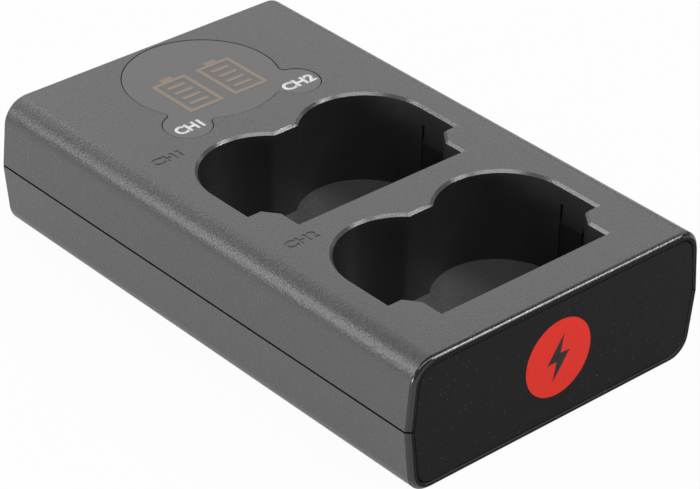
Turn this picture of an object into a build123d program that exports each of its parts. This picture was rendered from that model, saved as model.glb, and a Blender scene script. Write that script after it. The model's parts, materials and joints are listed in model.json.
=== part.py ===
"""Twin-bay camera battery charger: moulded housing, display, power inlets and charging boards.

Millimetres. The origin is under the middle of the base. +X points to the end with the plate,
-X to the display end with the inlets, and +Z is up.
"""

import os
from math import acos, degrees, radians, tan

from build123d import *

os.makedirs("parts", exist_ok=True)

# Housing
BODY_LENGTH = 90.0
BODY_WIDTH = 55.6  # at the parting line, where the body is widest
BODY_HEIGHT = 21.5
PARTING_HEIGHT = 10.9
UPPER_DRAFT = 4.8  # degrees
LOWER_DRAFT = 6.5  # degrees
LONG_EDGE_RADIUS = 4.0
END_EDGE = 0.65
WALL = 1.8
END_WALL = 2.2
REVEAL_HEIGHT = 0.3  # dark line round the parting plane
REVEAL_DEPTH = 0.6
LIP_HEIGHT = 1.2
LIP_THICKNESS = 0.8
LIP_CLEARANCE = 0.1

# Battery bays, measured back from the straight front edge
BAY_PITCH = 29.1
BAY_FRONT_LAND = 7.2  # from the plated end to the nearer bay
BAY_WIDTH = 39.3  # a 38.7 mm pack with clearance
BAY_FRONT_WIDTH = 31.0
BAY_SHOULDER_WIDTH = 34.9
BAY_TAB_LENGTH = 6.0
BAY_TAB_STRAIGHT = 3.45
BAY_TAB_RADIUS = 0.6
LOBE_RADIUS = 10.3
LOBE_SETBACK = 13.5
SADDLE_SETBACK = 20.95  # to the flat between the two lobes
BAY_WALL = 1.4
BAY_FLOOR_WALL = 1.2
RIM_EDGE = 0.4

# Grip tongues in the bays' end walls
SLIT_SETBACK = 12.6
SLIT_WIDTH = 0.5
SLIT_TOP_DROP = 3.0
GRIP_LENGTH = 4.3
GRIP_TOP_DROP = 4.9
GRIP_PROUD = 0.3
GRIP_LEAD_IN = 0.8

# Plate on the near end
PLATE_MARGIN = 1.2
PLATE_THICKNESS = 0.8
PLATE_RECESS = 0.9
PLATE_GAP = 0.12
PLATE_EDGE = 0.2

# Display window
DISPLAY_SETBACK = 13.25  # from the display end to the centre of the round
WINDOW_RADIUS = 11.92
WINDOW_LOBE_RADIUS = 3.66
WINDOW_LOBE_X = 9.65
WINDOW_LOBE_Y = 10.43
WINDOW_CORNER_RADIUS = 1.0
WINDOW_THICKNESS = 1.0
WINDOW_SINK = 0.06  # face of the window below the roof
WINDOW_GAP = 0.16

# Display under the window
DISPLAY_LEDGE = 1.5  # the roof covers this much of the panel's edge
DISPLAY_PANEL_INSET = 3.75  # from the ends of the display board
DISPLAY_PANEL_WIDTH = 20.0
DISPLAY_PANEL_THICKNESS = 1.0
DISPLAY_PANEL_EDGE = 0.25
BACKLIGHT_RIM = 0.5  # the panel overhangs the light guide by this much
BACKLIGHT_THICKNESS = 2.7
BACKLIGHT_WELL = 1.6
BACKLIGHT_WALL = 0.8
LAMP_LENGTH = 2.0
LAMP_WIDTH = 1.25
LAMP_HEIGHT = 0.7
DISPLAY_BOARD_INSET = 3.5  # from the display end
DISPLAY_BOARD_GAP = 1.0  # to the wall of the first bay
DISPLAY_SCREW_INSET = 2.5

# Main board
STANDOFF_HEIGHT = 1.4
STANDOFF_WIDTH = 4.6
STANDOFF_INSET = 2.75  # from the board's long edges
BOARD_THICKNESS = 1.0
BOARD_EDGE_GAP = 0.8
BOARD_HEADROOM = 1.1  # between the board and the bay floors
BOARD_RIB_THICKNESS = 1.2
BOARD_RIB_LENGTH = 30.0
BOARD_RIB_SETBACK = 12.0  # behind each bay's front edge
BOARD_SCREW_SETBACK = 22.0  # behind each bay's front edge

# Screws and posts
POST_WIDTH = 5.6
POST_GAP = 0.3
HOUSING_SCREW_DIAMETER = 2.2
HOUSING_SCREW_BITE = 6.0
HOUSING_HEAD_DIAMETER = 4.0
HOUSING_HEAD_HEIGHT = 1.4
HOUSING_HEAD_SINK = 0.6  # head below the base
BOARD_SCREW_DIAMETER = 1.8
BOARD_SCREW_BITE = 1.2
BOARD_HEAD_DIAMETER = 3.4
BOARD_HEAD_HEIGHT = 1.0
DISPLAY_BOSS_WIDTH = 4.0
DISPLAY_SCREW_BITE = 2.6
SCREW_CLEARANCE = 0.2
THREAD_CLEARANCE = 0.02
DRIVE_WIDTH = 0.5
DRIVE_DEPTH = 0.6

# Contacts in the bay floors
BLADE_COUNT = 3
BLADE_PITCH = 5.0
BLADE_THICKNESS = 0.6
BLADE_LENGTH = 3.2
BLADE_RISE = 5.5  # above the bay floor
BLADE_TAIL = 0.8  # below the board
BLADE_TIP = 0.8
BLOCK_SETBACK = 3.4
BLOCK_LENGTH = 4.4
BLOCK_WIDTH = 14.0
BLOCK_RISE = 1.6
FLANGE_REACH = 1.2
CONTACT_CLEARANCE = 0.05

# Power inlets on the display end
INLET_SPACING = 17.0
INLET_RECESS = 0.6
INLET_GAP = 0.2
INLET_SHELL = 0.3
INLET_FIT = 0.03
ROUND_INLET_WIDTH = 8.94
ROUND_INLET_HEIGHT = 3.2
ROUND_INLET_DEPTH = 7.4
ROUND_TONGUE_WIDTH = 6.7
ROUND_TONGUE_THICKNESS = 0.7
MICRO_INLET_WIDTH = 7.6
MICRO_INLET_HEIGHT = 2.7
MICRO_INLET_DEPTH = 5.4
MICRO_INLET_SLOPE = 0.9
MICRO_TONGUE_WIDTH = 4.0
MICRO_TONGUE_THICKNESS = 0.6
INLET_BASE_DEPTH = 2.0
TONGUE_SETBACK = 1.0  # behind the mouth

# Pin row between the boards
PIN_COUNT = 8
PIN_PITCH = 2.0
PIN_SIZE = 0.6
PIN_TAIL = 0.6
STRIP_WIDTH = 2.0
STRIP_HEIGHT = 2.0
STRIP_INSET = 1.3  # from the display board's edge
PIN_CLEARANCE = 0.05

# Parts soldered to the main board, in a row behind the inlets, outwards from the middle
PART_GAP = 0.6
CONTROLLER_LENGTH = 5.3
CONTROLLER_WIDTH = 7.2
CONTROLLER_HEIGHT = 1.8
CONTROLLER_LEAD_COUNT = 10
CHARGER_LENGTH = 3.9
CHARGER_WIDTH = 4.9
CHARGER_HEIGHT = 1.5
CHARGER_LEAD_COUNT = 4
LEAD_REACH = 1.0
LEAD_WIDTH = 0.35
LEAD_HEIGHT = 0.6
INDUCTOR_SIZE = 5.0
INDUCTOR_HEIGHT = 3.6
INDUCTOR_CORNER = 1.0
CAPACITOR_DIAMETER = 4.3
CAPACITOR_HEIGHT = 5.4
CAPACITOR_BASE_HEIGHT = 0.8
CAPACITOR_EDGE = 0.3
DIODE_LENGTH = 4.3
DIODE_WIDTH = 2.6
DIODE_HEIGHT = 2.0
DIODE_EDGE = 0.5
RESISTOR_LENGTH = 2.0
RESISTOR_WIDTH = 1.25
RESISTOR_HEIGHT = 0.5
RESISTOR_Y = 11.5

# Levels and places that follow from the sizes above
near_end = BODY_LENGTH / 2
far_end = -BODY_LENGTH / 2
plate_seat = near_end - PLATE_RECESS
bay_fronts = (near_end - BAY_FRONT_LAND - BAY_PITCH, near_end - BAY_FRONT_LAND)
board_bottom = WALL + STANDOFF_HEIGHT
board_top = board_bottom + BOARD_THICKNESS
bay_underside = board_top + BOARD_HEADROOM
bay_floor = bay_underside + BAY_FLOOR_WALL
roof_underside = BODY_HEIGHT - WALL
display_x = far_end + DISPLAY_SETBACK
panel_bottom = roof_underside - DISPLAY_PANEL_THICKNESS
display_board_top = panel_bottom - BACKLIGHT_THICKNESS
display_board_bottom = display_board_top - BOARD_THICKNESS
first_bay_wall = bay_fronts[0] - LOBE_SETBACK - LOBE_RADIUS - BAY_WALL
display_board_length = first_bay_wall - DISPLAY_BOARD_GAP - far_end - DISPLAY_BOARD_INSET
display_board_x = far_end + DISPLAY_BOARD_INSET + display_board_length / 2
display_panel_length = display_board_length - 2 * DISPLAY_PANEL_INSET
inlet_mouth = far_end + INLET_RECESS
inlet_back = inlet_mouth + ROUND_INLET_DEPTH
base_half_width = BODY_WIDTH / 2 - PARTING_HEIGHT * tan(radians(LOWER_DRAFT))
top_half_width = BODY_WIDTH / 2 - (BODY_HEIGHT - PARTING_HEIGHT) * tan(radians(UPPER_DRAFT))
post_x = near_end - END_WALL - POST_GAP - POST_WIDTH / 2
post_inner_edge = BAY_FRONT_WIDTH / 2 + BAY_WALL + POST_GAP
post_y = post_inner_edge + POST_WIDTH / 2
post_points = [(x, y) for x in (-post_x, post_x) for y in (-post_y, post_y)]
board_half_length = near_end - END_WALL - BOARD_EDGE_GAP
board_half_width = base_half_width - WALL - BOARD_EDGE_GAP
board_screw_y = board_half_width - STANDOFF_INSET
board_screw_points = [
    (bay_fronts[0] - BOARD_SCREW_SETBACK, -board_screw_y),
    (bay_fronts[1] - BOARD_SCREW_SETBACK, board_screw_y),
]
display_board_half_width = post_inner_edge - BOARD_EDGE_GAP
display_screw_x = display_board_length / 2 - DISPLAY_SCREW_INSET
display_screw_y = display_board_half_width - DISPLAY_SCREW_INSET
display_screw_points = [
    (display_board_x - display_screw_x, -display_screw_y),
    (display_board_x + display_screw_x, display_screw_y),
]
pin_x = display_board_x + display_board_length / 2 - STRIP_INSET
block_points = [(front - BLOCK_SETBACK, 0) for front in bay_fronts]
blade_points = [
    (x, (index - (BLADE_COUNT - 1) / 2) * BLADE_PITCH)
    for x, _ in block_points
    for index in range(BLADE_COUNT)
]
pin_points = [(pin_x, (index - (PIN_COUNT - 1) / 2) * PIN_PITCH) for index in range(PIN_COUNT)]
part_row_x = inlet_back + PART_GAP + LEAD_REACH + CONTROLLER_LENGTH / 2
charger_y = CONTROLLER_WIDTH / 2 + PART_GAP + CHARGER_WIDTH / 2
inductor_y = charger_y + CHARGER_WIDTH / 2 + PART_GAP + INDUCTOR_SIZE / 2
capacitor_y = inductor_y + INDUCTOR_SIZE / 2 + PART_GAP + CAPACITOR_DIAMETER / 2
diode_x = inlet_back - DIODE_LENGTH / 2
ON_BOARD = (Align.CENTER, Align.CENTER, Align.MIN)


def body_section(inset, at=0):
    """Cross-section of the body, drafted both ways from the parting line and inset all round."""
    with BuildSketch(Plane.YZ.offset(at)) as section:
        with BuildLine():
            Polyline(
                (base_half_width - inset, inset),
                (BODY_WIDTH / 2 - inset, PARTING_HEIGHT),
                (top_half_width - inset, BODY_HEIGHT - inset),
                (inset - top_half_width, BODY_HEIGHT - inset),
                (inset - BODY_WIDTH / 2, PARTING_HEIGHT),
                (inset - base_half_width, inset),
                close=True,
            )
        make_face()
        corners = section.vertices().group_by(Axis.Y)[0] + section.vertices().group_by(Axis.Y)[-1]
        fillet(corners, LONG_EDGE_RADIUS - inset)
    return section.sketch


def bay_outline(grow):
    """Plan of one bay with its front edge on the Y axis, grown outwards by a wall."""
    half = BAY_WIDTH / 2
    lobe_radius = LOBE_RADIUS + grow
    saddle = SADDLE_SETBACK + grow
    lobe_sweep = 90 + degrees(acos((saddle - LOBE_SETBACK) / lobe_radius))
    with BuildSketch() as outline:
        with BuildLine():
            shoulder = Polyline(
                (grow, 0),
                (grow, BAY_FRONT_WIDTH / 2 + grow),
                (-BAY_TAB_STRAIGHT, BAY_FRONT_WIDTH / 2 + grow),
                (grow - BAY_TAB_LENGTH, BAY_SHOULDER_WIDTH / 2 + grow),
                (grow - BAY_TAB_LENGTH, half + grow),
                (-LOBE_SETBACK, half + grow),
            )
            lobe = CenterArc((-LOBE_SETBACK, half - LOBE_RADIUS), lobe_radius, 90, lobe_sweep)
            flat = Line(lobe @ 1, (-saddle, 0))
            mirror(shoulder, about=Plane.XZ)
            mirror(lobe, about=Plane.XZ)
            mirror(flat, about=Plane.XZ)
        make_face()
        tab_corners = outline.vertices().filter_by(
            lambda v: abs(v.Y) < half and -LOBE_SETBACK < v.X < -BAY_TAB_STRAIGHT / 2
        )
        fillet(tab_corners, BAY_TAB_RADIUS)
    return outline.sketch


def window_outline(grow, at):
    """Plan of the window, one large round with two small lobes, grown outwards by a gap."""
    with BuildSketch(Plane.XY.offset(at)) as outline:
        with Locations((display_x, 0)):
            Circle(WINDOW_RADIUS)
        with Locations(
            (display_x + WINDOW_LOBE_X, -WINDOW_LOBE_Y),
            (display_x + WINDOW_LOBE_X, WINDOW_LOBE_Y),
        ):
            Circle(WINDOW_LOBE_RADIUS)
        # Growing and shrinking again rounds the inner corners between the round and its lobes
        offset(amount=WINDOW_CORNER_RADIUS)
        offset(amount=grow - WINDOW_CORNER_RADIUS)
    return outline.sketch


def ring(outer_length, outer_width, inner_length, inner_width):
    """Rectangular ring round the parting plane."""
    with BuildSketch(Plane.XY.offset(PARTING_HEIGHT)) as outline:
        Rectangle(outer_length, outer_width)
        Rectangle(inner_length, inner_width, mode=Mode.SUBTRACT)
    return outline.sketch


def round_inlet_outline(grow, at):
    """Stadium mouth of the reversible inlet, standing on the main board."""
    with BuildSketch(Plane.YZ.offset(at)) as outline:
        with Locations((-INLET_SPACING / 2, board_top + ROUND_INLET_HEIGHT / 2)):
            SlotOverall(ROUND_INLET_WIDTH + 2 * grow, ROUND_INLET_HEIGHT + 2 * grow)
    return outline.sketch


def micro_inlet_outline(grow, at):
    """Mouth of the small inlet, narrower below than above, standing on the main board."""
    middle = INLET_SPACING / 2
    half = MICRO_INLET_WIDTH / 2 + grow
    bottom = board_top - grow
    top = board_top + MICRO_INLET_HEIGHT + grow
    with BuildSketch(Plane.YZ.offset(at)) as outline:
        with BuildLine():
            Polyline(
                (middle - half + MICRO_INLET_SLOPE, bottom),
                (middle + half - MICRO_INLET_SLOPE, bottom),
                (middle + half, bottom + MICRO_INLET_SLOPE),
                (middle + half, top),
                (middle - half, top),
                (middle - half, bottom + MICRO_INLET_SLOPE),
                close=True,
            )
        make_face()
    return outline.sketch


def pan_head_screws(points, seat, direction, head_diameter, head_height, shank_diameter, shank_length):
    """Screws with cross drives, heads seated at one height, shanks up (1) or down (-1) from it."""
    towards_head = Align.MAX if direction > 0 else Align.MIN
    towards_point = Align.MIN if direction > 0 else Align.MAX
    with Locations(*[(x, y, seat) for x, y in points]):
        Cylinder(head_diameter / 2, head_height, align=(Align.CENTER, Align.CENTER, towards_head))
        Cylinder(shank_diameter / 2, shank_length, align=(Align.CENTER, Align.CENTER, towards_point))
    drive_length = head_diameter / 2
    with Locations(*[(x, y, seat - direction * head_height) for x, y in points]):
        for size_x, size_y in ((drive_length, DRIVE_WIDTH), (DRIVE_WIDTH, drive_length)):
            Box(
                size_x,
                size_y,
                DRIVE_DEPTH,
                align=(Align.CENTER, Align.CENTER, towards_point),
                mode=Mode.SUBTRACT,
            )


def leaded_chip(plane, length, width, height, leads):
    """Moulded chip on a board, with a row of leads along each side in the plane's X direction."""
    with BuildPart(plane) as chip:
        Box(length, width, height, align=ON_BOARD)
        with GridLocations(length / leads, width + LEAD_REACH, leads, 2):
            Box(LEAD_WIDTH, LEAD_REACH, LEAD_HEIGHT, align=ON_BOARD)
    return chip.part


# Upper housing: drafted shell, both bays, window seat, posts and display bosses
with BuildPart() as upper_housing:
    extrude(body_section(0), near_end, both=True)
    split(bisect_by=Plane.XY.offset(PARTING_HEIGHT), keep=Keep.TOP)
    end_edges = upper_housing.faces().filter_by(Axis.X).edges()
    chamfer(end_edges.filter_by(lambda e: e.center().Z > PARTING_HEIGHT + REVEAL_HEIGHT), END_EDGE)
    extrude(body_section(WALL), near_end - END_WALL, both=True, mode=Mode.SUBTRACT)
    with BuildSketch(Plane.XY.offset(bay_underside)):
        with Locations(*[(front, 0) for front in bay_fronts]):
            add(bay_outline(BAY_WALL))
    extrude(amount=BODY_HEIGHT - bay_underside)
    with BuildSketch(Plane.XY.offset(bay_floor)):
        with Locations(*[(front, 0) for front in bay_fronts]):
            add(bay_outline(0))
    extrude(amount=BODY_HEIGHT - bay_floor, mode=Mode.SUBTRACT)
    roof = upper_housing.faces().sort_by(Axis.Z)[-1]
    chamfer(roof.inner_wires().edges(), RIM_EDGE)
    with BuildSketch(Plane.XY.offset(PARTING_HEIGHT)):
        with Locations(*post_points):
            Rectangle(POST_WIDTH, POST_WIDTH)
    extrude(amount=roof_underside - PARTING_HEIGHT)
    with BuildSketch(Plane.XY.offset(display_board_top)):
        with Locations(*display_screw_points):
            Rectangle(DISPLAY_BOSS_WIDTH, DISPLAY_BOSS_WIDTH)
    extrude(amount=roof_underside - display_board_top)
    with BuildSketch(Plane.XY.offset(PARTING_HEIGHT)):
        with Locations(*post_points):
            Circle(HOUSING_SCREW_DIAMETER / 2 + THREAD_CLEARANCE)
    extrude(amount=HOUSING_SCREW_BITE + SCREW_CLEARANCE, mode=Mode.SUBTRACT)
    with BuildSketch(Plane.XY.offset(display_board_top)):
        with Locations(*display_screw_points):
            Circle(BOARD_SCREW_DIAMETER / 2 + THREAD_CLEARANCE)
    extrude(amount=DISPLAY_SCREW_BITE + SCREW_CLEARANCE, mode=Mode.SUBTRACT)
    # Seat of the window and the opening that the display shows through
    extrude(
        window_outline(WINDOW_GAP, BODY_HEIGHT),
        -WINDOW_SINK - WINDOW_THICKNESS,
        mode=Mode.SUBTRACT,
    )
    with BuildSketch(Plane.XY.offset(BODY_HEIGHT)):
        with Locations((display_board_x, 0)):
            Rectangle(
                display_panel_length - 2 * DISPLAY_LEDGE,
                DISPLAY_PANEL_WIDTH - 2 * DISPLAY_LEDGE,
            )
    extrude(amount=-WALL, mode=Mode.SUBTRACT)
    # Slots for the contact blocks in the bay floors
    with BuildSketch(Plane.XY.offset(bay_underside)):
        with Locations(*block_points):
            Rectangle(BLOCK_LENGTH + 2 * CONTACT_CLEARANCE, BLOCK_WIDTH + 2 * CONTACT_CLEARANCE)
    extrude(amount=BAY_FLOOR_WALL, mode=Mode.SUBTRACT)
    # Grip tongues on both end walls of each bay, each with a slit behind it
    for front in bay_fronts:
        grip_start = front - SLIT_SETBACK + SLIT_WIDTH / 2
        grip_top = BODY_HEIGHT - GRIP_TOP_DROP
        with BuildSketch(Plane.YZ.offset(grip_start)):
            with BuildLine():
                grip = Polyline(
                    (BAY_WIDTH / 2, bay_floor),
                    (BAY_WIDTH / 2 - GRIP_PROUD, bay_floor),
                    (BAY_WIDTH / 2 - GRIP_PROUD, grip_top - GRIP_LEAD_IN),
                    (BAY_WIDTH / 2, grip_top),
                    close=True,
                )
                mirror(grip, about=Plane.YZ)
            make_face()
        extrude(amount=GRIP_LENGTH)
        with BuildSketch(Plane.XY.offset(bay_floor)):
            with GridLocations(0, BAY_WIDTH + BAY_WALL, 1, 2):
                with Locations((front - SLIT_SETBACK, 0)):
                    Rectangle(SLIT_WIDTH, BAY_WALL + GRIP_PROUD)
        extrude(amount=BODY_HEIGHT - SLIT_TOP_DROP - bay_floor, mode=Mode.SUBTRACT)
    # Rebate for the lower housing's lip, and the reveal outside it
    extrude(
        ring(
            BODY_LENGTH - 2 * (END_WALL - LIP_THICKNESS - LIP_CLEARANCE),
            BODY_WIDTH - 2 * (WALL - LIP_THICKNESS - LIP_CLEARANCE),
            BODY_LENGTH - 2 * (END_WALL + LIP_CLEARANCE),
            BODY_WIDTH - 2 * (WALL + LIP_CLEARANCE),
        ),
        LIP_HEIGHT + LIP_CLEARANCE,
        mode=Mode.SUBTRACT,
    )
    extrude(
        ring(
            BODY_LENGTH + WALL,
            BODY_WIDTH + WALL,
            BODY_LENGTH - 2 * REVEAL_DEPTH,
            BODY_WIDTH - 2 * REVEAL_DEPTH,
        ),
        REVEAL_HEIGHT,
        mode=Mode.SUBTRACT,
    )
    extrude(body_section(PLATE_MARGIN - PLATE_GAP, plate_seat), PLATE_RECESS, mode=Mode.SUBTRACT)
upper_housing.part.label = "upper_housing"
export_step(upper_housing.part, "parts/upper_housing.step")

# Lower housing: drafted tray with a lip, screw posts, board supports and inlet openings
with BuildPart() as lower_housing:
    extrude(body_section(0), near_end, both=True)
    split(bisect_by=Plane.XY.offset(PARTING_HEIGHT), keep=Keep.BOTTOM)
    end_edges = lower_housing.faces().filter_by(Axis.X).edges()
    chamfer(end_edges.filter_by(lambda e: e.center().Z < PARTING_HEIGHT - REVEAL_HEIGHT), END_EDGE)
    extrude(body_section(WALL), near_end - END_WALL, both=True, mode=Mode.SUBTRACT)
    extrude(
        ring(
            BODY_LENGTH - 2 * (END_WALL - LIP_THICKNESS),
            BODY_WIDTH - 2 * (WALL - LIP_THICKNESS),
            BODY_LENGTH - 2 * END_WALL,
            BODY_WIDTH - 2 * WALL,
        ),
        LIP_HEIGHT,
    )
    with BuildSketch(Plane.XY.offset(WALL)):
        with Locations(*post_points):
            Rectangle(POST_WIDTH, POST_WIDTH)
    extrude(amount=PARTING_HEIGHT - WALL)
    with BuildSketch(Plane.XY.offset(WALL)):
        with Locations(*board_screw_points):
            Rectangle(STANDOFF_WIDTH, STANDOFF_WIDTH)
        with Locations(*[(front - BOARD_RIB_SETBACK, 0) for front in bay_fronts]):
            Rectangle(BOARD_RIB_THICKNESS, BOARD_RIB_LENGTH)
    extrude(amount=STANDOFF_HEIGHT)
    with Locations(*[Location((x, y, 0), (180, 0, 0)) for x, y in post_points]):
        CounterBoreHole(
            radius=HOUSING_SCREW_DIAMETER / 2 + SCREW_CLEARANCE,
            counter_bore_radius=HOUSING_HEAD_DIAMETER / 2 + SCREW_CLEARANCE,
            counter_bore_depth=HOUSING_HEAD_SINK + HOUSING_HEAD_HEIGHT,
            depth=PARTING_HEIGHT,
        )
    with Locations(*[(x, y, board_bottom) for x, y in board_screw_points]):
        Hole(BOARD_SCREW_DIAMETER / 2 + THREAD_CLEARANCE, depth=BOARD_SCREW_BITE + SCREW_CLEARANCE)
    extrude(round_inlet_outline(INLET_GAP, far_end), END_WALL, mode=Mode.SUBTRACT)
    extrude(micro_inlet_outline(INLET_GAP, far_end), END_WALL, mode=Mode.SUBTRACT)
    extrude(body_section(PLATE_MARGIN - PLATE_GAP, plate_seat), PLATE_RECESS, mode=Mode.SUBTRACT)
lower_housing.part.label = "lower_housing"
export_step(lower_housing.part, "parts/lower_housing.step")

# Plate set into the near end across both housings
with BuildPart() as end_plate:
    extrude(body_section(PLATE_MARGIN, plate_seat), PLATE_THICKNESS)
    chamfer(end_plate.faces().sort_by(Axis.X)[-1].edges(), PLATE_EDGE)
end_plate.part.label = "end_plate"
export_step(end_plate.part, "parts/end_plate.step")

# Screws that close the housing from below
with BuildPart() as housing_screws:
    head_seat = HOUSING_HEAD_SINK + HOUSING_HEAD_HEIGHT
    pan_head_screws(
        post_points,
        head_seat,
        1,
        HOUSING_HEAD_DIAMETER,
        HOUSING_HEAD_HEIGHT,
        HOUSING_SCREW_DIAMETER,
        PARTING_HEIGHT + HOUSING_SCREW_BITE - head_seat,
    )
housing_screws.part.label = "housing_screws"
export_step(housing_screws.part, "parts/housing_screws.step")

# Window, set into its seat just below the roof's face
with BuildPart() as display_window:
    extrude(window_outline(0, BODY_HEIGHT - WINDOW_SINK), -WINDOW_THICKNESS)
display_window.part.label = "display_window"
export_step(display_window.part, "parts/display_window.step")

# Display panel: a glass plate held up against the roof
with BuildPart() as display_panel:
    with BuildSketch(Plane.XY.offset(panel_bottom)):
        with Locations((display_board_x, 0)):
            Rectangle(display_panel_length, DISPLAY_PANEL_WIDTH)
    extrude(amount=DISPLAY_PANEL_THICKNESS)
    chamfer(display_panel.edges().filter_by(Axis.Y).group_by(Axis.Z)[-1], DISPLAY_PANEL_EDGE)
display_panel.part.label = "display_panel"
export_step(display_panel.part, "parts/display_panel.step")

# Light guide with one well for each channel
with BuildPart() as display_backlight:
    guide_length = display_panel_length - 2 * BACKLIGHT_RIM
    guide_width = DISPLAY_PANEL_WIDTH - 2 * BACKLIGHT_RIM
    well_length = guide_length - 2 * BACKLIGHT_WALL
    well_width = guide_width / 2 - 2 * BACKLIGHT_WALL
    with BuildSketch(Plane.XY.offset(display_board_top)):
        with Locations((display_board_x, 0)):
            Rectangle(guide_length, guide_width)
    extrude(amount=BACKLIGHT_THICKNESS)
    with BuildSketch(Plane.XY.offset(display_board_top)):
        with Locations((display_board_x, 0)):
            with GridLocations(0, guide_width / 2, 1, 2):
                Rectangle(well_length, well_width)
    extrude(amount=BACKLIGHT_WELL, mode=Mode.SUBTRACT)
display_backlight.part.label = "display_backlight"
export_step(display_backlight.part, "parts/display_backlight.step")

# Lamps on the display board, two in each well
with BuildPart() as display_lamps:
    with Locations((display_board_x, 0, display_board_top)):
        with GridLocations(well_length / 2, guide_width / 2, 2, 2):
            Box(LAMP_LENGTH, LAMP_WIDTH, LAMP_HEIGHT, align=ON_BOARD)
display_lamps.part.label = "display_lamps"
export_step(display_lamps.part, "parts/display_lamps.step")

# Display board under the roof
with BuildPart() as display_board:
    with BuildSketch(Plane.XY.offset(display_board_bottom)):
        with Locations((display_board_x, 0)):
            Rectangle(display_board_length, 2 * display_board_half_width)
        with Locations(*display_screw_points):
            Circle(BOARD_SCREW_DIAMETER / 2 + SCREW_CLEARANCE, mode=Mode.SUBTRACT)
        with Locations(*pin_points):
            Rectangle(PIN_SIZE + 2 * PIN_CLEARANCE, PIN_SIZE + 2 * PIN_CLEARANCE, mode=Mode.SUBTRACT)
    extrude(amount=BOARD_THICKNESS)
display_board.part.label = "display_board"
export_step(display_board.part, "parts/display_board.step")

with BuildPart() as display_board_screws:
    pan_head_screws(
        display_screw_points,
        display_board_bottom,
        1,
        BOARD_HEAD_DIAMETER,
        BOARD_HEAD_HEIGHT,
        BOARD_SCREW_DIAMETER,
        BOARD_THICKNESS + DISPLAY_SCREW_BITE,
    )
display_board_screws.part.label = "display_board_screws"
export_step(display_board_screws.part, "parts/display_board_screws.step")

# Main board, notched at the corners round the screw posts
with BuildPart() as main_board:
    notch_x = post_x - POST_WIDTH / 2 - BOARD_EDGE_GAP
    notch_y = post_inner_edge - BOARD_EDGE_GAP
    with BuildSketch(Plane.XY.offset(board_bottom)):
        Rectangle(2 * board_half_length, 2 * notch_y)
        Rectangle(2 * notch_x, 2 * board_half_width)
        with Locations(*board_screw_points):
            Circle(BOARD_SCREW_DIAMETER / 2 + SCREW_CLEARANCE, mode=Mode.SUBTRACT)
        with Locations(*blade_points):
            Rectangle(
                BLADE_LENGTH + 2 * CONTACT_CLEARANCE,
                BLADE_THICKNESS + 2 * CONTACT_CLEARANCE,
                mode=Mode.SUBTRACT,
            )
        with Locations(*pin_points):
            Rectangle(PIN_SIZE + 2 * PIN_CLEARANCE, PIN_SIZE + 2 * PIN_CLEARANCE, mode=Mode.SUBTRACT)
    extrude(amount=BOARD_THICKNESS)
main_board.part.label = "main_board"
export_step(main_board.part, "parts/main_board.step")

with BuildPart() as main_board_screws:
    pan_head_screws(
        board_screw_points,
        board_top,
        -1,
        BOARD_HEAD_DIAMETER,
        BOARD_HEAD_HEIGHT,
        BOARD_SCREW_DIAMETER,
        BOARD_THICKNESS + BOARD_SCREW_BITE,
    )
main_board_screws.part.label = "main_board_screws"
export_step(main_board_screws.part, "parts/main_board_screws.step")

# Pin row that joins the two boards
with BuildPart() as header_strip:
    with BuildSketch(Plane.XY.offset(board_top)):
        with Locations((pin_x, 0)):
            Rectangle(STRIP_WIDTH, PIN_COUNT * PIN_PITCH)
        with Locations(*pin_points):
            Rectangle(PIN_SIZE + 2 * PIN_CLEARANCE, PIN_SIZE + 2 * PIN_CLEARANCE, mode=Mode.SUBTRACT)
    extrude(amount=STRIP_HEIGHT)
header_strip.part.label = "header_strip"
export_step(header_strip.part, "parts/header_strip.step")

with BuildPart() as header_pins:
    with BuildSketch(Plane.XY.offset(board_bottom - PIN_TAIL)):
        with Locations(*pin_points):
            Rectangle(PIN_SIZE, PIN_SIZE)
    extrude(amount=display_board_top - board_bottom + 2 * PIN_TAIL)
header_pins.part.label = "header_pins"
export_step(header_pins.part, "parts/header_pins.step")

# Reversible inlet: drawn shell round a moulded base with its tongue
with BuildPart() as round_inlet_shell:
    extrude(round_inlet_outline(0, inlet_mouth), ROUND_INLET_DEPTH)
    extrude(round_inlet_outline(-INLET_SHELL, inlet_mouth), ROUND_INLET_DEPTH, mode=Mode.SUBTRACT)
round_inlet_shell.part.label = "round_inlet_shell"
export_step(round_inlet_shell.part, "parts/round_inlet_shell.step")

with BuildPart() as round_inlet_tongue:
    extrude(round_inlet_outline(-INLET_SHELL - INLET_FIT, inlet_back - INLET_BASE_DEPTH), INLET_BASE_DEPTH)
    with BuildSketch(Plane.YZ.offset(inlet_mouth + TONGUE_SETBACK)):
        with Locations((-INLET_SPACING / 2, board_top + ROUND_INLET_HEIGHT / 2)):
            Rectangle(ROUND_TONGUE_WIDTH, ROUND_TONGUE_THICKNESS)
    extrude(amount=ROUND_INLET_DEPTH - TONGUE_SETBACK)
round_inlet_tongue.part.label = "round_inlet_tongue"
export_step(round_inlet_tongue.part, "parts/round_inlet_tongue.step")

# Small inlet, built the same way
with BuildPart() as micro_inlet_shell:
    extrude(micro_inlet_outline(0, inlet_mouth), MICRO_INLET_DEPTH)
    extrude(micro_inlet_outline(-INLET_SHELL, inlet_mouth), MICRO_INLET_DEPTH, mode=Mode.SUBTRACT)
micro_inlet_shell.part.label = "micro_inlet_shell"
export_step(micro_inlet_shell.part, "parts/micro_inlet_shell.step")

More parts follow.
